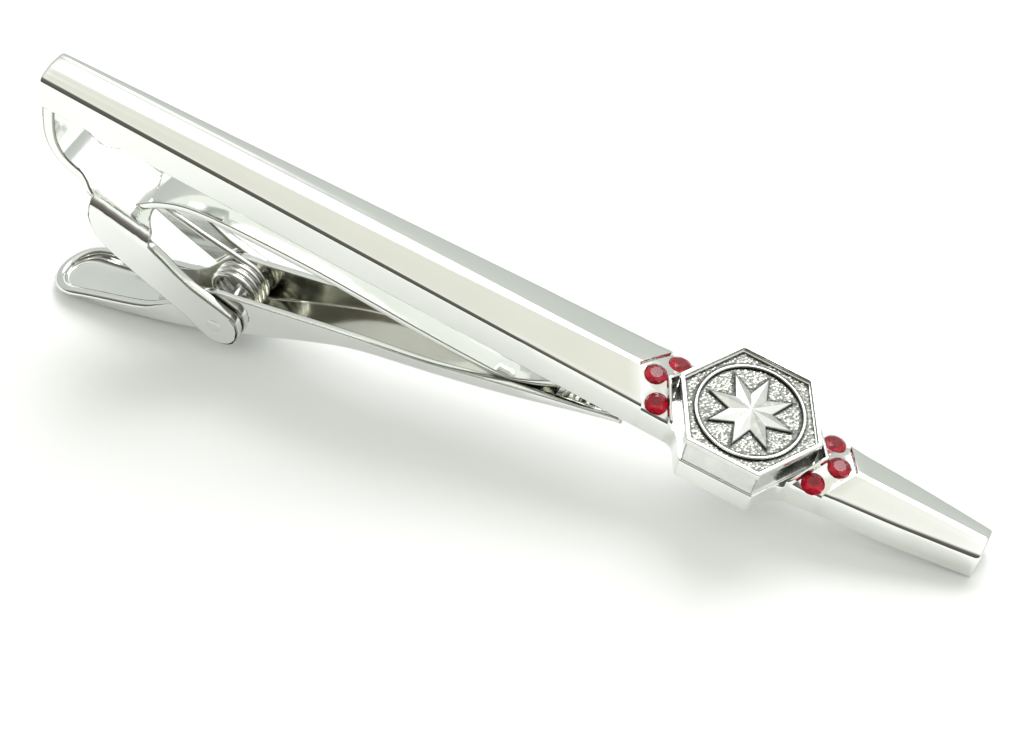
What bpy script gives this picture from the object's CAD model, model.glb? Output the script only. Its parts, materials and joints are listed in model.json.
"""Looks for a tie bar with a sprung jaw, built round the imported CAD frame.

Pieces are drawn in the bar's own frame, in millimetres: x runs along the bar to its tip, z = 0 is
the bar's back face and x = 0 is the middle of the medallion. TO_ROW puts them in the row frame.
"""

import json
import math

import bmesh
import bpy
from mathutils import Matrix, Vector, noise


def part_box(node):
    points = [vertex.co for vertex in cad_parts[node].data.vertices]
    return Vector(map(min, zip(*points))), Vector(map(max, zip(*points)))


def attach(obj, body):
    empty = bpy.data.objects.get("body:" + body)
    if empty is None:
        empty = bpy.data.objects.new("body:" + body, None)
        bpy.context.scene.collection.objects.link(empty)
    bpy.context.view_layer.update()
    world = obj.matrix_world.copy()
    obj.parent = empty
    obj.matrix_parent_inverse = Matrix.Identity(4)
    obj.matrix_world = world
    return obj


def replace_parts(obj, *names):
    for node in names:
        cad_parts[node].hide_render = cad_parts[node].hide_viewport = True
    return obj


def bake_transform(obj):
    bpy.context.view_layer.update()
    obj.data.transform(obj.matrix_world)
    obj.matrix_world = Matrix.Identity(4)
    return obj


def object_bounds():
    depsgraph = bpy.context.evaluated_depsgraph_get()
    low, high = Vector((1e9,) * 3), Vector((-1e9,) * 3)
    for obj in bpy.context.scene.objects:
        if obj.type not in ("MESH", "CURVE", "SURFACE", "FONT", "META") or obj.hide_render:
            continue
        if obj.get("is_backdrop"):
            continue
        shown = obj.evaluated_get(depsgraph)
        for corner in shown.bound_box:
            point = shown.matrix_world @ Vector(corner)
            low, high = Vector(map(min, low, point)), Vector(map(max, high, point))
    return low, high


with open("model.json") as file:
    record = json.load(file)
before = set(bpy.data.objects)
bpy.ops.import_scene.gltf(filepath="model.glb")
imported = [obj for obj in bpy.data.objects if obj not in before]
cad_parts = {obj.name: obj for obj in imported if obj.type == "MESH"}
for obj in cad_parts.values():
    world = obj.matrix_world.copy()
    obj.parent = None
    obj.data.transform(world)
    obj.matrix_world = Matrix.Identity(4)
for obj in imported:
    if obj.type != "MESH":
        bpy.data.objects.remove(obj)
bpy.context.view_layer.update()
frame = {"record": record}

MM = 0.001
TAN30 = math.tan(math.radians(30))
COS30 = math.cos(math.radians(30))

# The bar, in mm: its ends, half widths and heights.
BAR_REAR, BAR_TIP = -44.5, 14.35
REAR_HALF, WAIST_HALF, TIP_HALF = 1.3, 2.25, 1.13
WAIST_X = 3.5
RIDGE_H, RIDGE_DROP, TIP_RISE = 2.75, 0.1, 0.38
# Its facets, bevel and edges.
FACET = math.radians(17.1)
FACET_STEPS = 6
BEVEL_SLOPE = 0.62
EDGE, BACK_ROUND, BACK_CORNER = 0.03, 0.12, 0.035
CROWN = 0.024
# Its bands of stones, the gap beside the medallion and the collar.
BAND_OUTER, BAND_INNER, BAND_DEPTH = 6.6, 4.9, 0.3
SINK_R, COLLAR_R, COLLAR_H = 4.65, 4.35, 1.5
GROOVE_FROM, GROOVE_HALF = 4.3, 2.4

# The medallion.
HEX_R, HEX_TOP, HEX_CORNER = 4.3, 3.5, 0.16
RIM_W, GROUND_DEPTH = 0.28, 0.3
HEX_FLOOR = HEX_TOP - GROUND_DEPTH - 0.06
EMBLEM_R, EMBLEM_TOP = HEX_R * COS30 - RIM_W - 0.55, HEX_TOP - 0.17
RING_W = 0.18
STAR_POINTS = 8
STAR_TIP_R, STAR_NOTCH_R = EMBLEM_R * 0.86, EMBLEM_R * 0.42

# The stones.
STONE_R = 0.65
STONE_APEX_X, STONE_SIDE_X, STONE_SIDE_Y = 5.56, 4.73, 1.53
APEX_SINK, SIDE_SINK, STONE_LEAN = 0.1, 0.9, 0.65

# The hinge.
PIN_X, PIN_Z, PIN_R = -31.5, -10.26, 0.4
EAR_OUT, EAR_T, WEB_T, FOLD_R = 2.5, 0.65, 0.86, 0.7

# The camera: what it looks at in the bar frame, its angles in degrees and its distance in metres.
CAMERA_AIM = Vector((-13.62, 0, -3.24))
CAMERA_AZIMUTH, CAMERA_ELEVATION, CAMERA_ROLL = 34.715, 46.812, -9.61
CAMERA_DISTANCE, CAMERA_LENS, CAMERA_SENSOR = 0.14284, 88.4, 36


def middle(box):
    return (box[0] + box[1]) / 2


def bar_to_row():
    """Matrix from the bar frame in mm to the row frame, from two stones and the hinge."""
    rear, tip = (middle(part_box(f"stone_{end}_apex")) for end in ("rear", "tip"))
    along = (tip - rear).normalized()
    across = Vector((0, 1, 0))
    turn = Matrix((along, across, along.cross(across))).transposed()
    hinge = Vector(frame["record"]["behaviour"]["joints"][0]["pos_m"])
    shift = hinge - turn @ Vector((PIN_X, 0, PIN_Z)) * MM
    return Matrix.Translation(shift) @ turn.to_4x4() @ Matrix.Scale(MM, 4)


TO_ROW = bar_to_row()


# ---------------------------------------------------------------- small geometry helpers

def lerp(a, b, t):
    """Straight-line mix of two numbers."""
    return a + (b - a) * t


def limit(t):
    """Keeps a number within 0 and 1."""
    return max(0.0, min(1.0, t))


def ease(t):
    """Smooth step from 0 to 1."""
    return t * t * (3 - 2 * t)


def table_at(table, x):
    """Straight-line reading of a table of (x, value) rows."""
    if x <= table[0][0]:
        return table[0][1]
    for (x0, v0), (x1, v1) in zip(table, table[1:]):
        if x <= x1:
            return lerp(v0, v1, (x - x0) / (x1 - x0))
    return table[-1][1]


def smooth_path(points, steps):
    """Catmull-Rom curve through 2-D points, with a number of steps for each span."""
    ends = [points[0]] + list(points) + [points[-1]]
    out = []
    for p0, p1, p2, p3 in zip(ends, ends[1:], ends[2:], ends[3:]):
        for i in range(steps):
            t = i / steps
            out.append(tuple(
                0.5 * (2 * b + (c - a) * t + (2 * a - 5 * b + 4 * c - d) * t * t
                       + (3 * b - a - 3 * c + d) * t ** 3)
                for a, b, c, d in zip(p0, p1, p2, p3)))
    out.append(tuple(points[-1]))
    return out


def hexagon(radius, corner, steps=3):
    """Hexagon with a corner on the x axis, and its corners rounded by an arc."""
    points = []
    reach = radius - corner / COS30
    for i in range(6):
        a = math.radians(60 * i)
        centre = Vector((math.cos(a), math.sin(a))) * reach
        for k in range(steps + 1):
            b = a + math.radians(60) * (k / steps - 0.5)
            points.append(centre + Vector((math.cos(b), math.sin(b))) * corner)
    return points


def arc(cx, cy, radius, start, stop, steps):
    """Points on an arc, its angles in degrees."""
    turns = (math.radians(lerp(start, stop, i / steps)) for i in range(steps + 1))
    return [(cx + radius * math.cos(a), cy + radius * math.sin(a)) for a in turns]


# ---------------------------------------------------------------- mesh helpers

def loft(bm, rings, cap_start=True, cap_end=True):
    """Joins closed rings of points with quads, and closes the two ends."""
    rows = [[bm.verts.new(p) for p in ring] for ring in rings]
    count = len(rows[0])
    for a, b in zip(rows, rows[1:]):
        for i in range(count):
            j = (i + 1) % count
            bm.faces.new((a[i], a[j], b[j], b[i]))
    if cap_start:
        bm.faces.new(rows[0][::-1])
    if cap_end:
        bm.faces.new(rows[-1])
    return rows


def lathe(bm, profile, steps, place=Matrix.Identity(4)):
    """Closed turned solid from (radius, height) pairs. Its first and last points are the poles."""
    rings = []
    for radius, height in profile[1:-1]:
        turns = (2 * math.pi * i / steps for i in range(steps))
        rings.append([place @ Vector((radius * math.cos(a), radius * math.sin(a), height))
                      for a in turns])
    rows = loft(bm, rings, False, False)
    for row, (_, height), flip in ((rows[0], profile[0], True), (rows[-1], profile[-1], False)):
        pole = bm.verts.new(place @ Vector((0, 0, height)))
        for i in range(steps):
            a, b = row[i], row[(i + 1) % steps]
            bm.faces.new((pole, b, a) if flip else (pole, a, b))


def tube(bm, path, radius, steps=16):
    """Round wire along 3-D points, with domed ends."""
    dome = [(0.4, 0.5), (0.25, 0.85)]
    rings = []
    normal = None
    for i, p in enumerate(path):
        before, after = path[max(i - 1, 0)], path[min(i + 1, len(path) - 1)]
        ahead = (after - before).normalized()
        if normal is None:
            normal = ahead.orthogonal()
        normal = (normal - ahead * normal.dot(ahead)).normalized()
        side = ahead.cross(normal)
        turns = [2 * math.pi * k / steps for k in range(steps)]
        ring = [(normal * math.cos(a) + side * math.sin(a)) * radius for a in turns]
        if i == 0:
            rings += [[p - ahead * radius * out + r * wide for r in ring] for out, wide in dome]
        rings.append([p + r for r in ring])
        if i == len(path) - 1:
            rings += [[p + ahead * radius * out + r * wide for r in ring]
                      for out, wide in reversed(dome)]
    loft(bm, rings)


def circle_loft(bm, profile, steps):
    """Ring-shaped solid: a closed (radius, height) profile carried round the z axis."""
    rows = []
    for i in range(steps):
        a = 2 * math.pi * i / steps
        rows.append([bm.verts.new((r * math.cos(a), r * math.sin(a), z)) for r, z in profile])
    for a, b in zip(rows, rows[1:] + rows[:1]):
        for i in range(len(profile)):
            j = (i + 1) % len(profile)
            bm.faces.new((a[i], b[i], b[j], a[j]))


def bevel_sharp(bm, width, angle=40, segments=2, slot=-1):
    """Rounds every edge that is sharper than an angle in degrees.

    Rounds that get a material slot of their own keep their full width everywhere.
    """
    bm.normal_update()
    edges = [e for e in bm.edges
             if len(e.link_faces) == 2 and e.calc_face_angle() > math.radians(angle)]
    bmesh.ops.bevel(bm, geom=edges, offset=width, segments=segments, profile=0.5,
                    affect="EDGES", clamp_overlap=slot < 0, material=slot)


def finish_mesh(bm, name, material, weighted=True):
    """Object from a bmesh in the bar frame, cleaned, put in the row frame and shaded smooth."""
    bmesh.ops.remove_doubles(bm, verts=bm.verts, dist=0.0005)
    bmesh.ops.dissolve_degenerate(bm, edges=bm.edges, dist=0.0003)
    bmesh.ops.recalc_face_normals(bm, faces=bm.faces)
    bm.transform(TO_ROW)
    mesh = bpy.data.meshes.new(name)
    bm.to_mesh(mesh)
    bm.free()
    mesh.materials.append(material)
    mesh.shade_smooth()
    obj = bpy.data.objects.new(name, mesh)
    bpy.context.scene.collection.objects.link(obj)
    if weighted:
        obj.modifiers.new("flat faces stay flat", "WEIGHTED_NORMAL").weight = 80
    return obj


def paint(obj, material, test):
    """Gives a second material to each face that passes a test.

    The test gets the face's corners in the bar frame, and its normal in the row frame.
    """
    obj.data.materials.append(material)
    to_bar = TO_ROW.inverted()
    for face in obj.data.polygons:
        corners = [to_bar @ obj.data.vertices[i].co for i in face.vertices]
        face.material_index = int(test(corners, face.normal))


def add_piece(obj, body, slot, *nodes):
    """Makes a piece move with a body, names its material slot and stands it in for CAD nodes."""
    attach(obj, body)
    if nodes:
        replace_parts(obj, *nodes)
    return obj


# ---------------------------------------------------------------- materials

def add_ramp(tree, source, stops):
    """Colour ramp node from (place, colour) stops, fed by a socket."""
    node = tree.nodes.new("ShaderNodeValToRGB")
    elements = node.color_ramp.elements
    while len(elements) < len(stops):
        elements.new(0.5)
    for element, (place, colour) in zip(elements, stops):
        element.position = place
        element.color = (*colour, 1)
    tree.links.new(source, node.inputs["Fac"])
    return node.outputs["Color"]


class Graph:
    """A material's node tree, with its texture space in mm of the row frame."""

    def __init__(self, name):
        self.material = bpy.data.materials.new(name)
        self.material.use_nodes = True
        self.tree = self.material.node_tree
        self.shader = self.tree.nodes["Principled BSDF"]
        self.space = self.add("ShaderNodeMapping",
                              Vector=self.add("ShaderNodeTexCoord").outputs["Object"])
        self.space.inputs["Scale"].default_value = (1 / MM,) * 3

    def add(self, kind, settings=None, **inputs):
        """New node. An input is a number, a colour or the output that feeds it."""
        node = self.tree.nodes.new(kind)
        for key, value in (settings or {}).items():
            setattr(node, key, value)
        for key, value in inputs.items():
            self.feed(node, key.replace("_", " "), value)
        return node

    def feed(self, node, key, value):
        """Links an output to an input, or sets the input to a plain value."""
        if isinstance(value, bpy.types.NodeSocket):
            self.tree.links.new(value, node.inputs[key])
        else:
            node.inputs[key].default_value = value

    def noise(self, scale, detail=3.0, stretch=None):
        """Noise from 0 to 1, its scale in cycles a mm, drawn out by a stretch along each axis."""
        space = self.space.outputs[0]
        if stretch:
            space = self.add("ShaderNodeMapping", Vector=space, Scale=stretch).outputs[0]
        return self.add("ShaderNodeTexNoise", Vector=space, Scale=scale,
                        Detail=detail).outputs["Fac"]

    def between(self, factor, low, high, start=0.3, stop=0.7):
        """Maps the middle of a factor's range onto low to high."""
        return self.add("ShaderNodeMapRange", Value=factor, From_Min=start, From_Max=stop,
                        To_Min=low, To_Max=high).outputs[0]

    def ramp(self, factor, stops):
        """Colour ramp from (place, colour) stops."""
        return add_ramp(self.tree, factor, stops)

    def bump(self, layers):
        """Chains bumps from (height, distance in microns) layers into the shader's normal."""
        normal = None
        for height, microns in layers:
            node = self.add("ShaderNodeBump", Height=height, Strength=1.0,
                            Distance=microns * 1e-6)
            if normal:
                self.feed(node, "Normal", normal)
            normal = node.outputs[0]
        self.feed(self.shader, "Normal", normal)

    def surface(self, **inputs):
        """Feeds the shader's inputs and gives the finished material."""
        for key, value in inputs.items():
            self.feed(self.shader, key.replace("_", " "), value)
        return self.material


def plated_metal(name, tint, dull, gloss, peel, marks):
    """Polished plating: faint colour drift, smears, orange peel and fine lengthwise marks."""
    g = Graph(name)
    colour = g.ramp(g.noise(0.22, 4), [(0.3, dull), (0.7, tint)])
    smear = g.noise(0.9, 5, stretch=(0.35, 1, 1))
    scratch = g.noise(1.0, 6, stretch=(0.5, 16, 16))
    g.bump([(g.noise(1.6, 2), peel), (scratch, marks)])
    return g.surface(Base_Color=colour, Metallic=1.0,
                     Roughness=g.between(smear, gloss * 0.6, gloss * 1.7))


def cast_silver():
    """Polished cast relief, a little softer than plating, with pits."""
    g = Graph("cast_silver")
    colour = g.ramp(g.noise(1.1, 4), [(0.3, (0.72, 0.73, 0.71)), (0.7, (0.83, 0.84, 0.81))])
    pits = g.noise(9.0, 4)
    g.bump([(g.noise(1.4, 2), 3.0), (pits, 0.35), (g.noise(1.0, 5, (1, 14, 14)), 0.3)])
    return g.surface(Base_Color=colour, Metallic=1.0,
                     Roughness=g.between(g.noise(3.0, 4), 0.12, 0.3))


def oxidised_ground():
    """Blackened, stippled silver: bright on the grains' tops and black in the hollows."""
    g = Graph("oxidised_ground")
    grain = g.add("ShaderNodeAttribute", {"attribute_name": "patina"}).outputs["Fac"]
    speck = g.add("ShaderNodeMath", {"operation": "MULTIPLY_ADD"})
    for i, value in enumerate((g.noise(11.0, 3), 0.35, grain)):
        g.feed(speck, i, value)
    colour = g.ramp(speck.outputs[0], [(0.2, (0.03, 0.032, 0.03)), (0.42, (0.16, 0.165, 0.15)),
                                       (0.6, (0.55, 0.56, 0.51)), (0.8, (0.88, 0.89, 0.85))])
    g.bump([(g.noise(14.0, 3), 4.0)])
    return g.surface(Base_Color=colour, Metallic=1.0,
                     Roughness=g.between(g.noise(6.0, 3), 0.25, 0.5))


def red_stone():
    """Clear deep red stone with faint inclusions."""
    g = Graph("red_stone")
    colour = g.ramp(g.noise(2.5, 4), [(0.3, (0.42, 0.0, 0.016)), (0.7, (0.75, 0.003, 0.04))])
    g.bump([(g.noise(5.0, 2), 0.4)])
    return g.surface(Base_Color=colour, Transmission_Weight=0.75, IOR=1.55, Specular_IOR_Level=0.4,
                     Roughness=g.between(g.noise(4.0, 3), 0.01, 0.06))


# Two tints, roughness, and the depths of orange peel and marks in microns.
PLATED = plated_metal("plated_bar", (0.88, 0.89, 0.86), (0.85, 0.865, 0.835), 0.045, 2.0, 0.12)
SHEET = plated_metal("plated_sheet", (0.87, 0.88, 0.855), (0.82, 0.835, 0.81), 0.1, 4.0, 0.4)
SHEET_INSIDE = plated_metal("sheet_inside", (0.68, 0.68, 0.61), (0.56, 0.56, 0.5), 0.12, 3.0, 0.3)
SHEET_EDGE = plated_metal("sheet_edge", (0.34, 0.34, 0.29), (0.5, 0.5, 0.45), 0.2, 3.0, 0.5)
SEAM = plated_metal("tarnished_seam", (0.1, 0.1, 0.09), (0.22, 0.22, 0.2), 0.38, 5.0, 0.6)
RIVET = plated_metal("rivet_steel", (0.86, 0.86, 0.84), (0.76, 0.77, 0.75), 0.15, 3.0, 0.5)
WIRE = plated_metal("spring_wire", (0.85, 0.85, 0.82), (0.74, 0.74, 0.71), 0.14, 2.0, 0.6)
SILVER = cast_silver()
GROUND = oxidised_ground()
RUBY = red_stone()


# ---------------------------------------------------------------- the bar

# Values along the bar, as (x, value) rows.
HALF_TABLE = [(BAR_REAR, REAR_HALF), (-WAIST_X, WAIST_HALF), (WAIST_X, WAIST_HALF),
              (BAR_TIP, TIP_HALF)]
BEVEL_TABLE = [(BAR_REAR, 0.24), (-7, 0.17), (7, 0.17), (BAR_TIP, 0.27)]
RIDGE_R_TABLE = [(BAR_REAR, 2.4), (-20, 1.6), (-7, 0.7), (7, 0.7), (BAR_TIP, 1.0)]
RIDGE_TABLE = [(WAIST_X, RIDGE_H), (BAR_TIP, RIDGE_H - RIDGE_DROP)]
BACK_TABLE = [(WAIST_X, 0.0), (BAR_TIP, TIP_RISE)]
# How far the section draws in at the rounded ends, as (x, inset) rows.
REAR_END = [(BAR_REAR, 0.12), (BAR_REAR + 0.02, 0.06), (BAR_REAR + 0.08, 0.02),
            (BAR_REAR + 0.2, 0), (BAR_REAR + 0.6, 0)]
TIP_END = [(BAR_TIP - 0.25, 0), (BAR_TIP - 0.09, 0.01), (BAR_TIP - 0.02, 0.04), (BAR_TIP, 0.09)]
# Where the plan of the rings turns from straight to a full V.
REAR_LEAN, TIP_LEAN = (-12.5, -6.8, 9), (10.2, 6.8, 7)


def gable(u, up, top):
    """Upper half section from the side up to the ridge: bevel, crowned facet and round ridge."""
    slope = math.tan(FACET)
    bevel = table_at(BEVEL_TABLE, u)
    edge_y = up - bevel * BEVEL_SLOPE
    edge_z = top - slope * edge_y
    side_z = edge_z - bevel
    ridge_r = table_at(RIDGE_R_TABLE, u)
    centre = top - ridge_r / math.cos(FACET)
    ridge = []
    for i in range(FACET_STEPS + 1):
        a = FACET * (1 - i / FACET_STEPS)
        ridge.append((ridge_r * math.sin(a), centre + ridge_r * math.cos(a)))
    facet = []
    for i in range(FACET_STEPS):
        t = i / FACET_STEPS
        y = lerp(edge_y - EDGE, ridge[0][0], t)
        facet.append((y, lerp(edge_z + slope * EDGE, ridge[0][1], t) + CROWN * 4 * t * (1 - t)))
    return [(up, side_z - EDGE), (up - EDGE * 0.5, side_z + EDGE),
            (edge_y + EDGE * 0.6, edge_z - EDGE), *facet, *ridge]


def half_outline(u, low, inset, drop, ceiling):
    """One half of the bar's section, as (y, z) from the middle of the back to the ridge.

    Low is the half width below the collar's top, which can be wider than the bar above it.
    """
    up = table_at(HALF_TABLE, u) - inset
    low = up if low is None else low
    back = table_at(BACK_TABLE, u)
    upper = gable(u, up, table_at(RIDGE_TABLE, u) - drop - inset)
    if ceiling:
        upper = [(y, min(z, ceiling)) for y, z in upper]
    round_over = min(0.1, low - up)
    return [
        (0, back), (low - BACK_ROUND, back), (low - BACK_CORNER, back + BACK_CORNER),
        (low, back + BACK_ROUND), (low, COLLAR_H - BACK_ROUND),
        (low - 0.3 * round_over, COLLAR_H - 0.3 * round_over),
        (low - round_over, COLLAR_H), (up, COLLAR_H), *upper,
    ]


def bar_ring(u, lean, low=None, inset=0.0, drop=0.0, ceiling=None):
    """Ring round the bar whose plan is a V: lean is 1 or -1 for a full V, and 0 for straight."""
    half = half_outline(u, low, inset, drop, ceiling)
    both = half + [(-y, z) for y, z in half[-2:0:-1]]
    return [Vector((u + lean * abs(y) * TAN30, y, z)) for y, z in both]


def band_rings(side):
    """Rings from the outer edge of a stone band in to the collar. Side is -1 or 1."""
    hex_half = COLLAR_R * COS30
    waist = WAIST_HALF - 0.02
    rows = [
        # apex place, lower half width, drop, ceiling
        (BAND_OUTER + 0.06, None, 0, None), (BAND_OUTER + 0.012, None, 0.008, None),
        (BAND_OUTER - 0.01, None, 0.04, None), (BAND_OUTER - 0.03, None, BAND_DEPTH - 0.02, None),
        (BAND_OUTER - 0.06, None, BAND_DEPTH, None), (BAND_INNER + 0.04, None, BAND_DEPTH, None),
        (BAND_INNER + 0.01, None, BAND_DEPTH - 0.03, None), (BAND_INNER - 0.02, None, 0.05, None),
        (BAND_INNER - 0.06, None, 0.012, None), (BAND_INNER - 0.1, None, 0, None),
        (SINK_R + 0.05, None, 0.012, None), (SINK_R + 0.01, waist + 0.02, 0.05, None),
        (SINK_R - 0.005, waist + 0.03, 0, COLLAR_H), (4.47, waist + 0.11, 0, COLLAR_H),
        (4.4, waist + 0.24, 0, COLLAR_H), (4.355, waist + 0.42, 0, COLLAR_H),
        (COLLAR_R, hex_half - 0.1, 0, COLLAR_H), (4.31, hex_half - 0.02, 0, COLLAR_H),
        (4.25, hex_half, 0, COLLAR_H),
    ]
    return [bar_ring(side * a, -side, low, 0, drop, ceiling) for a, low, drop, ceiling in rows]


def leaning_rings(start, stop, steps, side):
    """Rings whose plan turns from straight towards a full V, which itself is left out."""
    return [bar_ring(lerp(start, stop, i / steps), -side * ease(i / steps)) for i in range(steps)]


def bar_rings():
    """All rings of the bar, from its rear end to its tip."""
    rings = [bar_ring(u, 0, inset=inset) for u, inset in REAR_END]
    rings += [bar_ring(u, 0) for u in range(-42, -13, 4)]
    rings += leaning_rings(*REAR_LEAN, -1) + band_rings(-1)
    rings.append(bar_ring(0, 0, low=COLLAR_R * COS30, ceiling=COLLAR_H))
    rings += band_rings(1)[::-1] + leaning_rings(*TIP_LEAN, 1)[::-1]
    rings += [bar_ring(u, 0) for u in (11.5, 13)]
    return rings + [bar_ring(u, 0, inset=inset) for u, inset in TIP_END]


def stone_place(side, j):
    """Matrix of a stone's seat. Side picks the band; j is -1, 0 or 1 for near, apex and far."""
    x = side * (STONE_APEX_X if j == 0 else STONE_SIDE_X)
    sink = SIDE_SINK * math.tan(FACET) * STONE_SIDE_Y if j else APEX_SINK
    seat = Matrix.Translation((x, j * STONE_SIDE_Y, RIDGE_H - BAND_DEPTH - sink))
    return seat @ Matrix.Rotation(-j * FACET * STONE_LEAN, 4, "X")


def cut(obj, cutter):
    """Takes a cutter away from an object and keeps the result as its mesh."""
    modifier = obj.modifiers.new("cut", "BOOLEAN")
    modifier.object = cutter
    modifier.solver = "EXACT"
    bpy.context.view_layer.update()
    evaluated = obj.evaluated_get(bpy.context.evaluated_depsgraph_get())
    mesh = bpy.data.meshes.new_from_object(evaluated)
    obj.modifiers.remove(modifier)
    obj.data = mesh
    bpy.data.objects.remove(cutter)


SEATS = {f"{end}_{place}": stone_place(side, j)
         for side, end in ((-1, "rear"), (1, "tip"))
         for j, place in ((-1, "near"), (0, "apex"), (1, "far"))}
# Half section of a seat, as radius and height: a cone for the stone and a wall that opens above.
SEAT_FLOOR, SEAT_TOP = -0.62, 1.5
SEAT = [(0, SEAT_FLOOR), (STONE_R * 0.4, SEAT_FLOOR), (STONE_R + 0.01, -0.05),
        (STONE_R + 0.01, 0.05), (STONE_R + 0.06, 0.12), (STONE_R + 0.06, SEAT_TOP), (0, SEAT_TOP)]


def in_seat(points):
    """True for a face, given by its corners in the bar's frame, that lines a stone's seat."""
    for place in SEATS.values():
        local = [place.inverted() @ point for point in points]
        if all(math.hypot(p.x, p.y) < SEAT[-2][0] + 0.02 for p in local):
            return True
    return False


def in_groove(points):
    """True for a face of the narrow gap between a band of stones and the medallion.

    The gap is tarnished over its whole width on the tip's side, and in its middle at the rear.
    """
    def inside(p):
        place = abs(p.x) + abs(p.y) * TAN30
        half = GROOVE_HALF if p.x > 0 else GROOVE_HALF / 3
        return GROOVE_FROM < place < SINK_R + 0.013 and p.z > COLLAR_H - 0.1 and abs(p.y) < half

    return all(inside(p) for p in points)


def make_bar():
    """Front bar with its seats cut in, and tarnish in the seats and beside the medallion."""
    bm = bmesh.new()
    loft(bm, bar_rings())
    obj = finish_mesh(bm, "bar_body", PLATED, weighted=False)
    holes = bmesh.new()
    for place in SEATS.values():
        lathe(holes, SEAT, 32, place)
    cut(obj, finish_mesh(holes, "seat_cutter", PLATED, weighted=False))
    paint(obj, SEAM, lambda corners, _: in_seat(corners) or in_groove(corners))
    obj.data.set_sharp_from_angle(angle=math.radians(50))
    obj.modifiers.new("flat faces stay flat", "WEIGHTED_NORMAL").keep_sharp = True
    return add_piece(obj, "bar", "plated_bar", "front_bar")


# ---------------------------------------------------------------- the stones

def brilliant(bm, place):
    """Round stone of eight-fold facets: table, crown, girdle and pavilion."""
    def ring(radius, height, count, turn=0.0):
        turns = [math.radians(360 * i / count + turn) for i in range(count)]
        return [bm.verts.new(place @ Vector((radius * math.cos(a), radius * math.sin(a), height)))
                for a in turns]

    table = ring(STONE_R * 0.56, 0.2, 8)
    crown = ring(STONE_R * 0.8, 0.125, 8, 22.5)
    girdle_top, girdle = ring(STONE_R, 0.02, 16), ring(STONE_R, -0.02, 16)
    pavilion = ring(STONE_R * 0.3, -0.38, 8, 22.5)
    culet = bm.verts.new(place @ Vector((0, 0, -0.53)))
    bm.faces.new(table)
    for i in range(8):
        j = (i + 1) % 8
        bm.faces.new((table[i], crown[i], table[j]))
        bm.faces.new((table[j], crown[i], girdle_top[2 * j], crown[j]))
        bm.faces.new((crown[i], girdle_top[2 * i + 1], girdle_top[2 * j]))
        bm.faces.new((crown[i], girdle_top[2 * i], girdle_top[2 * i + 1]))
        bm.faces.new((pavilion[i], girdle[2 * i + 1], girdle[2 * i]))
        bm.faces.new((pavilion[i], girdle[2 * j], girdle[2 * i + 1]))
        bm.faces.new((pavilion[i], culet, pavilion[j], girdle[2 * j]))
    for i in range(16):
        j = (i + 1) % 16
        bm.faces.new((girdle_top[i], girdle[i], girdle[j], girdle_top[j]))


def make_stones():
    """One faceted stone for each seat."""
    for name, place in SEATS.items():
        bm = bmesh.new()
        brilliant(bm, place)
        stone = finish_mesh(bm, f"cut_stone_{name}", RUBY, weighted=False)
        stone.data.shade_flat()
        add_piece(stone, "bar", "red_stone", f"stone_{name}")


# ---------------------------------------------------------------- the medallion

def make_medallion_block():
    """Hexagonal block with a rim that stands a little proud of its sides."""
    levels = [
        # circumradius, height
        (HEX_R - 0.12, COLLAR_H), (HEX_R - 0.08, COLLAR_H + 0.04), (HEX_R - 0.08, HEX_TOP - 0.5),
        (HEX_R - 0.05, HEX_TOP - 0.46), (HEX_R - 0.01, HEX_TOP - 0.43), (HEX_R, HEX_TOP - 0.39),
        (HEX_R, HEX_TOP - 0.05), (HEX_R - 0.015, HEX_TOP - 0.015), (HEX_R - 0.05, HEX_TOP),
        (HEX_R - RIM_W + 0.05, HEX_TOP), (HEX_R - RIM_W + 0.015, HEX_TOP - 0.012),
        (HEX_R - RIM_W, HEX_TOP - 0.05), (HEX_R - RIM_W - 0.02, HEX_FLOOR),
    ]
    bm = bmesh.new()
    loft(bm, [[(x, y, z) for x, y in hexagon(r, HEX_CORNER)] for r, z in levels])
    block = finish_mesh(bm, "medallion_block", SILVER)
    return add_piece(block, "bar", "oxidised_silver", "medallion")


def emblem_distance(x, y):
    """Rough distance in mm from a point of the ground to the nearest raised part or the rim."""
    r, turn = math.hypot(x, y), math.atan2(y, x)
    flats = (math.radians(30 + 60 * i) for i in range(6))
    wall = min((HEX_R - RIM_W) * COS30 - r * math.cos(turn - a) for a in flats)
    sector = math.pi / STAR_POINTS
    a = abs((turn + sector) % (2 * sector) - sector)
    p = Vector((r * math.cos(a), r * math.sin(a)))
    tip = Vector((STAR_TIP_R, 0))
    notch = Vector((math.cos(sector), math.sin(sector))) * STAR_NOTCH_R
    side = (notch - tip).normalized()
    star = Vector((-side.y, side.x)).dot(p - tip)
    return min(wall, abs(r - EMBLEM_R - RING_W / 2) - RING_W / 2, abs(star))


def ground_relief(x, y):
    """Height and brightness of the grained ground, which is smooth and dark beside the relief."""
    open_ground = limit(emblem_distance(x, y) / 0.22)
    cell = noise.voronoi(Vector((x, y, 0)) / 0.19)[0]
    grain = limit(1.5 * (cell[1] - cell[0]))
    soft = 0.5 + 0.5 * noise.noise(Vector((x, y, 3)) / 0.4)
    return (open_ground * (0.075 * grain + 0.03 * soft),
            open_ground * (0.15 + 0.75 * grain * (0.5 + 0.5 * soft)))


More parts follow.
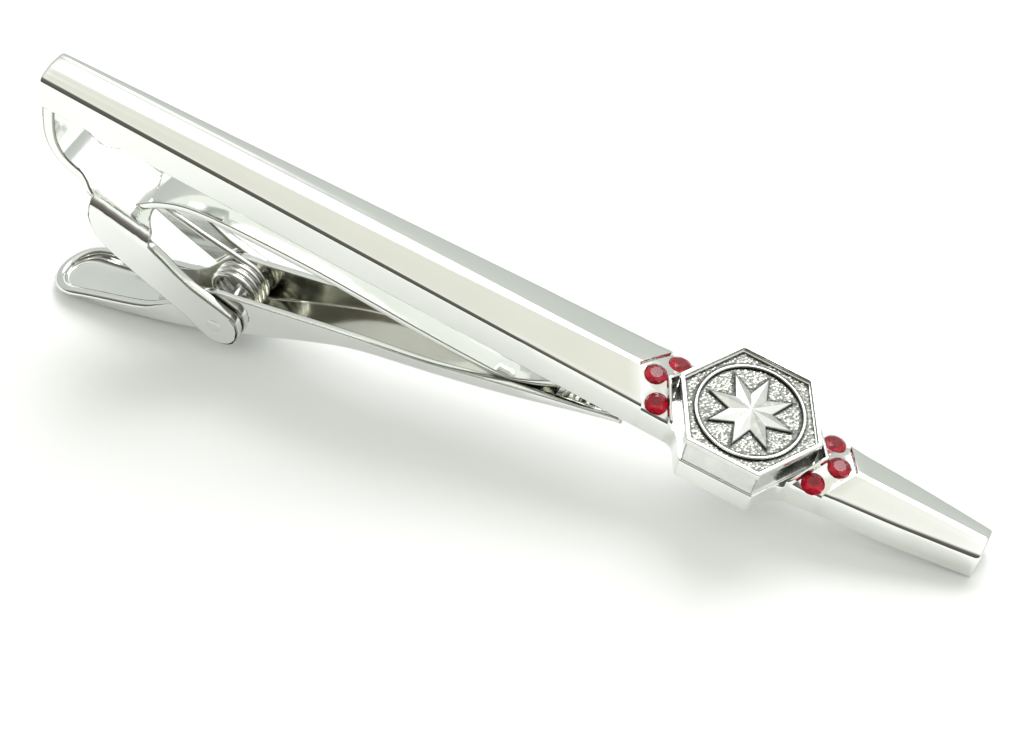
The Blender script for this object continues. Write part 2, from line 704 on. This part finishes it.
def make_medallion_ground():
    """Grained ground: a fine grid inside the rim, raised by noise."""
    step = 0.055
    reach = (HEX_R - RIM_W + 0.01) * COS30
    across = int(HEX_R / step)
    bm = bmesh.new()
    patina = bm.verts.layers.float.new("patina")
    grid = {}
    for i in range(-across, across + 1):
        for k in range(-across, across + 1):
            x, y = i * step, k * step
            if max(abs(y), abs(x) * COS30 + abs(y) * 0.5) > reach:
                continue
            height, brightness = ground_relief(x, y)
            vert = bm.verts.new((x, y, HEX_TOP - GROUND_DEPTH - 0.05 + height))
            vert[patina] = brightness
            grid[i, k] = vert
    for (i, k), vert in grid.items():
        corners = [grid.get(key) for key in ((i + 1, k), (i + 1, k + 1), (i, k + 1))]
        if all(corners):
            bm.faces.new((vert, *corners))
    ground = finish_mesh(bm, "medallion_ground", GROUND, weighted=False)
    return add_piece(ground, "bar", "oxidised_silver")


def star_ring(inset, z):
    """Outline of the star at a height, drawn in by an inset. Its notches lie a little lower."""
    ring = []
    for i in range(2 * STAR_POINTS):
        r = STAR_NOTCH_R - 0.9 * inset if i % 2 else STAR_TIP_R - 2.6 * inset
        a = math.pi * i / STAR_POINTS
        sunk = 0.05 if i % 2 and z > HEX_FLOOR else 0
        ring.append((r * math.cos(a), r * math.sin(a), z - sunk))
    return ring


def make_star():
    """Raised plain star whose facets climb to a peak."""
    bm = bmesh.new()
    levels = ((0.0, HEX_FLOOR), (0.0, EMBLEM_TOP - 0.07), (0.03, EMBLEM_TOP - 0.02),
              (0.08, EMBLEM_TOP))
    edge = loft(bm, [star_ring(inset, z) for inset, z in levels], cap_end=False)[-1]
    peak = bm.verts.new((0, 0, HEX_TOP))
    for a, b in zip(edge, edge[1:] + edge[:1]):
        bm.faces.new((a, b, peak))
    star = finish_mesh(bm, "medallion_star", SILVER, weighted=False)
    star.data.set_sharp_from_angle(angle=math.radians(12))
    return add_piece(star, "bar", "oxidised_silver")


def make_ring():
    """Raised ring round the star."""
    bm = bmesh.new()
    inner, outer = EMBLEM_R, EMBLEM_R + RING_W
    circle_loft(bm, [(inner, HEX_FLOOR), (outer, HEX_FLOOR), (outer, EMBLEM_TOP - 0.05),
                     (outer - 0.04, EMBLEM_TOP), (inner + 0.04, EMBLEM_TOP),
                     (inner, EMBLEM_TOP - 0.05)], 96)
    ring = finish_mesh(bm, "medallion_ring", SILVER)
    return add_piece(ring, "bar", "oxidised_silver")


# ---------------------------------------------------------------- sheet parts

# The leaf's middle line in x and z, from its lip to its foot.
LEAF_PATH = [
    (-37.8, -4.62), (-37.1, -3.88), (-36.35, -3.25), (-35.2, -2.62), (-34.0, -2.25),
    (-32.45, -2.06), (-30.0, -2.0), (-26.0, -2.05), (-22.5, -2.3), (-19.7, -2.55),
    (-16.3, -2.75), (-13.6, -2.8), (-12.5, -2.45), (-10.7, -1.2), (-9.75, -0.52), (-8.9, -0.26),
    (-5.25, -0.26),
]
LEAF_T, LEAF_LIP_X, LIP_CORNER = 0.5, -38.0, 0.7
LEAF_FOOT_X, LEAF_LIP_HALF, LEAF_FOOT_HALF = -5, 1.5, 1.25


def leaf_half_width(x):
    """Half of the leaf's width, with rounded corners at its lip."""
    along = (x - LEAF_LIP_X) / (LEAF_FOOT_X - LEAF_LIP_X)
    width = lerp(LEAF_LIP_HALF, LEAF_FOOT_HALF, along)
    short = max(0.0, LIP_CORNER - (x - LEAF_LIP_X))
    return width - LIP_CORNER + math.sqrt(max(0.01, LIP_CORNER ** 2 - short ** 2))


def strip_section(half, thick, edge):
    """Closed section of a flat strip with rounded edges, as (across, up) from its middle."""
    section = [(half, thick - edge), (half - edge * 0.3, thick - edge * 0.3),
               (half - edge, thick), (0, thick)]
    section += [(-y, n) for y, n in section[-2::-1]]
    return section + [(-y, -n) for y, n in section]


def make_leaf():
    """Sprung plate under the bar: a rounded strip along its side line, with a curled lip."""
    line = smooth_path(LEAF_PATH, 6)
    bm = bmesh.new()
    rings = []
    for i, (x, z) in enumerate(line):
        (x0, z0), (x1, z1) = line[max(i - 1, 0)], line[min(i + 1, len(line) - 1)]
        normal = Vector((-(z1 - z0), x1 - x0)).normalized()
        section = strip_section(leaf_half_width(x), LEAF_T / 2, 0.1)
        rings.append([(x + normal.x * n, y, z + normal.y * n) for y, n in section])
    loft(bm, rings)
    leaf = finish_mesh(bm, "spring_leaf", SHEET)
    return add_piece(leaf, "bar", "plated_sheet", "back_leaf")


# The strap's outer face in x and z, from the bar down to the web, and the web's direction.
STRAP_PATH = [
    (-43.57, 0.1), (-43.56, -1.0), (-43.5, -1.9), (-43.3, -2.75), (-42.85, -3.45),
    (-42.1, -3.93), (-41.2, -4.22), (-40.3, -4.47),
]
WEB_STEP = Vector((0.9691, -0.2467))
WEB_END = 11.55
BLANK_STEPS = 22
PLAIN_STATIONS = {0.8, 1.6, 2.6, 3.15, 6.0}
FLAT_HALF = EAR_OUT - FOLD_R
FOLD_END = FLAT_HALF + FOLD_R * math.pi / 2
# Distance along the web, then distance over the sheet to the outer and the inner edge.
EAR_OUTER = [
    (-1.4, 1.25), (-0.9, 1.5), (-0.45, 1.85), (-0.1, 2.05), (0.0, 2.35), (0.1, 3.1), (0.25, 3.8),
    (0.52, 4.3), (1.16, 5.1), (2.1, 5.55), (4.8, 6.13), (7.3, 6.5), (8.4, 6.72), (9.1, 7.0),
    (9.95, 7.22), (10.5, 7.13), (11.0, 6.84), (11.3, 6.5), (11.47, 6.15), (WEB_END, 5.75),
]
EAR_INNER = [
    (3.2, 0), (3.23, 0.37), (3.3, 0.67), (3.45, 1.04), (3.7, 1.4), (4.0, 1.71), (4.15, 2.15),
    (4.3, 2.65), (4.8, 2.85), (5.4, 3.06), (6.4, 3.46), (7.7, 3.8), (9.7, 3.92), (10.6, 3.97),
    (11.1, 4.3), (11.4, 4.85), (WEB_END, 5.55),
]


def fold_point(t, depth=0.0):
    """Point across the folded sheet: t mm over its outer face and a depth into the metal."""
    if t <= FLAT_HALF:
        return t, depth
    if t <= FOLD_END:
        a = (t - FLAT_HALF) / FOLD_R
        radius = FOLD_R - depth
        return FLAT_HALF + radius * math.sin(a), FOLD_R - radius * math.cos(a)
    return EAR_OUT - depth, FOLD_R + t - FOLD_END


def bracket_stations():
    """Rows of (place, tangent, inner edge, outer edge) from the bar down the strap to the ears."""
    line = smooth_path(STRAP_PATH, 5)
    stations = []
    reach = 0.0
    for i in range(len(line) - 1, 0, -1):
        p, q = Vector(line[i - 1]), Vector(line[i])
        reach -= (q - p).length
        stations.append((p, (q - p).normalized(), 0.0, table_at(EAR_OUTER, reach)))
    stations.reverse()
    web = Vector(STRAP_PATH[-1])
    for s in sorted({s for s, _ in EAR_OUTER + EAR_INNER if s >= 0} | PLAIN_STATIONS):
        stations.append((web + WEB_STEP * s, WEB_STEP, table_at(EAR_INNER, s),
                         table_at(EAR_OUTER, s)))
    return stations


def blank_row(bm, side, place, ahead, inner, outer):
    """Outer and inner vertices of the sheet over one station, from its inner to its outer edge."""
    down = Vector((ahead.y, -ahead.x))
    faces = ([], [])
    for k in range(BLANK_STEPS + 1):
        t = lerp(inner, outer, k / BLANK_STEPS)
        metal = lerp(WEB_T, EAR_T, limit((t - 1.0) / FOLD_R))
        for face, depth in zip(faces, (0.0, metal)):
            y, d = fold_point(t, depth)
            p = place + down * d
            face.append(bm.verts.new((p.x, side * y, p.y)))
    return (*faces, inner)


def join_blank(bm, first, second):
    """Faces of the sheet between two stations: both sides and the edges that are open."""
    (top0, under0, in0), (top1, under1, in1) = first, second
    for k in range(BLANK_STEPS):
        bm.faces.new((top0[k], top0[k + 1], top1[k + 1], top1[k]))
        bm.faces.new((under0[k], under1[k], under1[k + 1], under0[k + 1]))
    bm.faces.new((top0[-1], under0[-1], under1[-1], top1[-1]))
    if in0 > 0 or in1 > 0:
        bm.faces.new((top0[0], top1[0], under1[0], under0[0]))


def make_bracket():
    """Strap, web and ears as one folded sheet: a grid over its blank, mapped round the folds."""
    bm = bmesh.new()
    for side in (-1, 1):
        rows = [blank_row(bm, side, *station) for station in bracket_stations()]
        for first, second in zip(rows, rows[1:]):
            join_blank(bm, first, second)
        for top, under, _ in (rows[0], rows[-1]):
            for k in range(BLANK_STEPS):
                bm.faces.new((top[k], under[k], under[k + 1], top[k + 1]))
    bmesh.ops.remove_doubles(bm, verts=bm.verts, dist=0.001)
    bmesh.ops.recalc_face_normals(bm, faces=bm.faces)
    bevel_sharp(bm, 0.12, angle=55, segments=3, slot=1)
    bracket = finish_mesh(bm, "hinge_bracket_sheet", SHEET)
    bracket.data.materials.append(SHEET_EDGE)
    return add_piece(bracket, "bar", "plated_sheet", "hinge_bracket")


def make_rivet():
    """Hinge rivet with a low peened dome at each end."""
    dome = [(0, 0.06), (0.55, 0.055), (0.9, 0.04), (1.1, 0.015), (1.14, -0.01), (1, -0.012)]
    head = [(PIN_R * wide, EAR_OUT + proud) for wide, proud in dome]
    bm = bmesh.new()
    across = Matrix.Translation((PIN_X, 0, PIN_Z)) @ Matrix.Rotation(math.radians(90), 4, "X")
    lathe(bm, [(r, -h) for r, h in head] + head[::-1], 40, across)
    rivet = finish_mesh(bm, "hinge_rivet", RIVET)
    return add_piece(rivet, "bar", "steel_pin", "hinge_pin")


# The jaw's underside and its rim, nose first, in x and z.
JAW_BOTTOM = smooth_path([
    (-6.2, -1.0), (-9.7, -2.5), (-13.9, -4.15), (-18.3, -5.6), (-22.7, -6.95), (-26.1, -8.75),
    (-30.0, -11.1), (-33.4, -13.0), (-36.2, -14.25), (-39.6, -15.575), (-41.8, -16.24),
    (-44.0, -16.9)], 5)[::-1]
JAW_RIM = smooth_path([
    (-6.2, -0.64), (-6.9, -0.7), (-8.6, -1.25), (-11.2, -2.05), (-15.4, -3.45), (-18.5, -4.5),
    (-23.0, -5.6), (-27.0, -6.75), (-30.7, -7.85), (-32.2, -8.25), (-33.2, -9.2), (-34.6, -11.2),
    (-37.0, -12.7), (-40.0, -14.1), (-42.9, -15.5), (-44.0, -16.1)], 5)[::-1]
JAW_HALF, LEVER_HALF, JAW_T, LIP_T = 1.8, 2.2, 0.45, 0.68
LEVER_START_X, LEVER_FLARE, LEVER_END_X, LINED_FROM_X = -35.1, 1.7, -41.8, -35.0
# Stations along the jaw, close together where its section changes.
JAW_PLACES = [
    -6.2, -6.5, -6.9, -7.6, -8.6, *(-9.6 - 0.9 * i for i in range(23)),
    -30.1, -30.7, -31.5, -32.0, -32.4, -32.8, -33.2, -33.7, -34.2, -34.8, -35.3, -35.9, -36.5,
    -37.2, -38, -39, -40, -41,
]
LEVER_END_STEPS = 14
TEETH, FIRST_TOOTH_X, TOOTH_PITCH = 5, -7.4, 0.7


def channel_half(x):
    """Half of the jaw's U section at a place along it, from outside to inside."""
    lever = ease(limit((LEVER_START_X - x) / LEVER_FLARE))
    half = lerp(JAW_HALF, LEVER_HALF, lever)
    height = table_at(JAW_RIM, x) - table_at(JAW_BOTTOM, x)
    foot = lerp(0.0, 0.3, lever)
    edge = min(lerp(0.07, 0.3, lever), height * 0.3)
    radius = min(lerp(0.5, 0.7, lever), height * 0.6)
    floor = min(JAW_T, height - edge - 0.02)
    inner_r = max(0.02, min(radius - JAW_T + 0.15, height - edge - floor - 0.02))
    wall = half - foot
    outer = [(0, 0), ((wall - radius) * 0.5, 0)] + arc(wall - radius, radius, radius, -90, 0, 5)
    lip = lerp(JAW_T, LIP_T, lever)
    rim = [(half, height - edge), (half - edge * 0.3, height - edge * 0.3), (half - edge, height),
           (half - lip + edge, height), (half - lip + edge * 0.3, height - edge * 0.3),
           (half - lip, height - edge), (half - lip + edge * 0.2, height - edge * 1.5)]
    inner = arc(wall - JAW_T - inner_r, floor + inner_r, inner_r, 0, -90, 5)
    return outer + rim + inner + [((wall - JAW_T) * 0.5, floor), (0, floor)]


def channel_ring(x, turn=0.0):
    """Ring of the jaw at x, or on the lever's round end when the section is turned by an angle."""
    points = []
    reach = LEVER_HALF * math.sin(turn)
    half = channel_half(x - reach if turn else x)
    mirrored = [(-y, up) for y, up in half[-2:0:-1]]
    for y, up in half + mirrored:
        px = x - abs(y) * math.sin(turn)
        points.append((px, y * math.cos(turn), table_at(JAW_BOTTOM, px) + up))
    return points


def inside_jaw(corners, normal):
    """True for a face that lines the channel ahead of the lever."""
    centre = sum(corners, Vector()) / len(corners)
    lined = abs(centre.y) < JAW_HALF - JAW_T + 0.05 and centre.x > LINED_FROM_X
    return lined and normal.z > -0.3


def make_jaw():
    """Channel jaw and thumb lever as one pressed sheet with a rolled rim and a round end."""
    rings = [channel_ring(x) for x in JAW_PLACES]
    for i in range(LEVER_END_STEPS + 1):
        rings.append(channel_ring(LEVER_END_X, math.radians(90 * i / LEVER_END_STEPS)))
    bm = bmesh.new()
    loft(bm, rings, cap_end=False)
    bmesh.ops.remove_doubles(bm, verts=bm.verts, dist=0.001)
    jaw = finish_mesh(bm, "jaw_and_lever", SHEET)
    paint(jaw, SHEET_INSIDE, inside_jaw)
    return add_piece(jaw, "jaw", "plated_sheet", "jaw_lever")


def make_jaw_teeth():
    """Slanted teeth across the floor of the nose."""
    bm = bmesh.new()
    reach = JAW_HALF - JAW_T + 0.1
    for i in range(TEETH):
        x = FIRST_TOOTH_X - TOOTH_PITCH * i
        z = table_at(JAW_BOTTOM, x) + JAW_T
        tooth = [(x - 0.3, z - 0.15), (x + 0.28, z + 0.02), (x - 0.18, z + 0.26)]
        loft(bm, [[(px, y, pz) for px, pz in tooth] for y in (-reach, reach)])
    bevel_sharp(bm, 0.03)
    return add_piece(finish_mesh(bm, "jaw_teeth", SHEET), "jaw", "plated_sheet")


# ---------------------------------------------------------------- the spring

WIRE_R, COIL_R = 0.2, 1.5
COIL_X, COIL_Z, COIL_FIRST_Y = PIN_X + 0.1, PIN_Z + 0.86, -0.45
COIL_TURNS, TURN_STEPS = 3, 40
# Where the coil starts and stops, in degrees round its centre, and its legs in x and z.
COIL_START, COIL_STOP = -65, 76 + 360 * COIL_TURNS
LOWER_LEG = [(-36.4, -13.42), (-34.5, -12.52)]
UPPER_LEG = [(-34.5, -7.22), (-37.3, -6.52)]


def make_spring():
    """Helix of wire with two tangent legs, one under the web and one on the lever's floor."""
    pitch = 2 * WIRE_R + 0.01
    steps = TURN_STEPS * COIL_TURNS
    path = [Vector((x, COIL_FIRST_Y, z)) for x, z in LOWER_LEG]
    for i in range(steps + 1):
        degrees = lerp(COIL_START, COIL_STOP, i / steps)
        a = math.radians(degrees)
        y = COIL_FIRST_Y + pitch * (degrees - COIL_START) / 360
        path.append(Vector((COIL_X + COIL_R * math.cos(a), y, COIL_Z + COIL_R * math.sin(a))))
    path += [Vector((x, path[-1].y, z)) for x, z in UPPER_LEG]
    bm = bmesh.new()
    tube(bm, path, WIRE_R)
    spring = finish_mesh(bm, "coil_spring", WIRE, weighted=False)
    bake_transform(spring)
    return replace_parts(spring, "torsion_spring")


# ---------------------------------------------------------------- floor, light and camera

def make_floor():
    """Plain pale table, far larger than the part, with a faint tooth."""
    g = Graph("pale_table")
    colour = g.ramp(g.noise(0.02, 3), [(0.3, (0.9, 0.915, 0.905)), (0.7, (0.93, 0.94, 0.93))])
    g.bump([(g.noise(2.0, 3), 3.0)])
    g.surface(Base_Color=colour, Roughness=g.between(g.noise(0.5, 3), 0.75, 0.9),
              Specular_IOR_Level=0.1)
    half = 3.0
    mesh = bpy.data.meshes.new("table_top")
    mesh.from_pydata([(-half, -half, 0), (half, -half, 0), (half, half, 0), (-half, half, 0)],
                     [], [(0, 1, 2, 3)])
    mesh.materials.append(g.material)
    floor = bpy.data.objects.new("table_top", mesh)
    bpy.context.scene.collection.objects.link(floor)
    floor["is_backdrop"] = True


# Colours of the light tent from straight down, 0, to straight up, 1.
SKY_BEHIND = [(0.0, (0.46, 0.49, 0.47)), (0.4, (0.53, 0.56, 0.53)), (0.47, (0.56, 0.59, 0.56)),
              (0.51, (0.98, 0.98, 0.96)), (0.9, (0.98, 0.98, 0.96)), (0.985, (0.72, 0.72, 0.65)),
              (1.0, (0.7, 0.7, 0.63))]
SKY_BESIDE = [(0.0, (0.46, 0.49, 0.47)), (0.5, (0.5, 0.52, 0.49)), (0.75, (0.58, 0.6, 0.57)),
              (0.97, (0.7, 0.7, 0.65)), (1.0, (0.7, 0.7, 0.63))]
SKY_BEFORE = [(0.0, (0.06, 0.065, 0.055)), (0.25, (0.09, 0.09, 0.08)), (0.6, (0.14, 0.13, 0.11)),
              (0.85, (0.3, 0.29, 0.25)), (0.96, (0.72, 0.72, 0.66)), (1.0, (0.7, 0.7, 0.63))]


def blend_sky(tree, source, start, end, first, second):
    """Second colour where the source is above end, and first where it is below start."""
    rise = tree.nodes.new("ShaderNodeMapRange")
    rise.interpolation_type = "SMOOTHSTEP"
    rise.inputs["From Min"].default_value = start
    rise.inputs["From Max"].default_value = end
    tree.links.new(source, rise.inputs["Value"])
    mix = tree.nodes.new("ShaderNodeMix")
    mix.data_type = "RGBA"
    tree.links.new(rise.outputs[0], mix.inputs["Factor"])
    tree.links.new(first, mix.inputs["A"])
    tree.links.new(second, mix.inputs["B"])
    return mix.outputs["Result"]


def make_world():
    """White light tent: a bright wall behind, grey at the rear end and dark before the part."""
    world = bpy.data.worlds.new("light_tent")
    world.use_nodes = True
    bpy.context.scene.world = world
    tree = world.node_tree
    split = tree.nodes.new("ShaderNodeSeparateXYZ")
    tree.links.new(tree.nodes.new("ShaderNodeTexCoord").outputs["Generated"], split.inputs[0])
    behind, beside, before = (add_ramp(tree, split.outputs["Z"], stops)
                              for stops in (SKY_BEHIND, SKY_BESIDE, SKY_BEFORE))
    far = blend_sky(tree, split.outputs["X"], -0.5, -0.15, beside, behind)
    sky = blend_sky(tree, split.outputs["Y"], -0.55, -0.1, before, far)
    background = tree.nodes["Background"]
    background.inputs["Strength"].default_value = 1.25
    tree.links.new(sky, background.inputs["Color"])


def add_softbox(name, place, size, watts, mirrored=True):
    """Square area light that faces the part, placed in metres from the part's middle.

    A light that isn't mirrored fills the shadows without showing in the polished metal.
    """
    light = bpy.data.lights.new(name, "AREA")
    light.size = size
    light.energy = watts
    obj = bpy.data.objects.new(name, light)
    bpy.context.scene.collection.objects.link(obj)
    obj.location = middle(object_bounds()) + Vector(place)
    obj.rotation_euler = (-Vector(place)).to_track_quat("-Z", "Y").to_euler()
    obj.visible_glossy = mirrored


def make_camera():
    """Camera above the near side, turned a little about its own axis."""
    azimuth, elevation = math.radians(CAMERA_AZIMUTH), math.radians(CAMERA_ELEVATION)
    back = Vector((math.sin(azimuth) * math.cos(elevation),
                   -math.cos(azimuth) * math.cos(elevation), math.sin(elevation)))
    data = bpy.data.cameras.new("camera")
    data.sensor_width = CAMERA_SENSOR
    data.lens = CAMERA_LENS
    data.clip_start, data.clip_end = 0.005, 20
    camera = bpy.data.objects.new("camera", data)
    bpy.context.scene.collection.objects.link(camera)
    camera.rotation_mode = "QUATERNION"
    aim = (-back).to_track_quat("-Z", "Y").to_matrix()
    roll = Matrix.Rotation(math.radians(CAMERA_ROLL), 3, "Z")
    camera.rotation_quaternion = (aim @ roll).to_quaternion()
    camera.location = TO_ROW @ CAMERA_AIM + back * CAMERA_DISTANCE
    bpy.context.scene.camera = camera


make_bar()
make_stones()
make_medallion_block()
make_medallion_ground()
make_star()
make_ring()
make_leaf()
make_bracket()
make_rivet()
make_jaw()
make_jaw_teeth()
make_spring()
make_floor()
make_world()
add_softbox("back_panel", (0.02, 0.3, 0.42), 0.35, 1.6)
add_softbox("front_fill", (0.0, -0.35, 0.35), 0.4, 0.65, mirrored=False)
make_camera()
bpy.context.scene.view_settings.view_transform = "Standard"
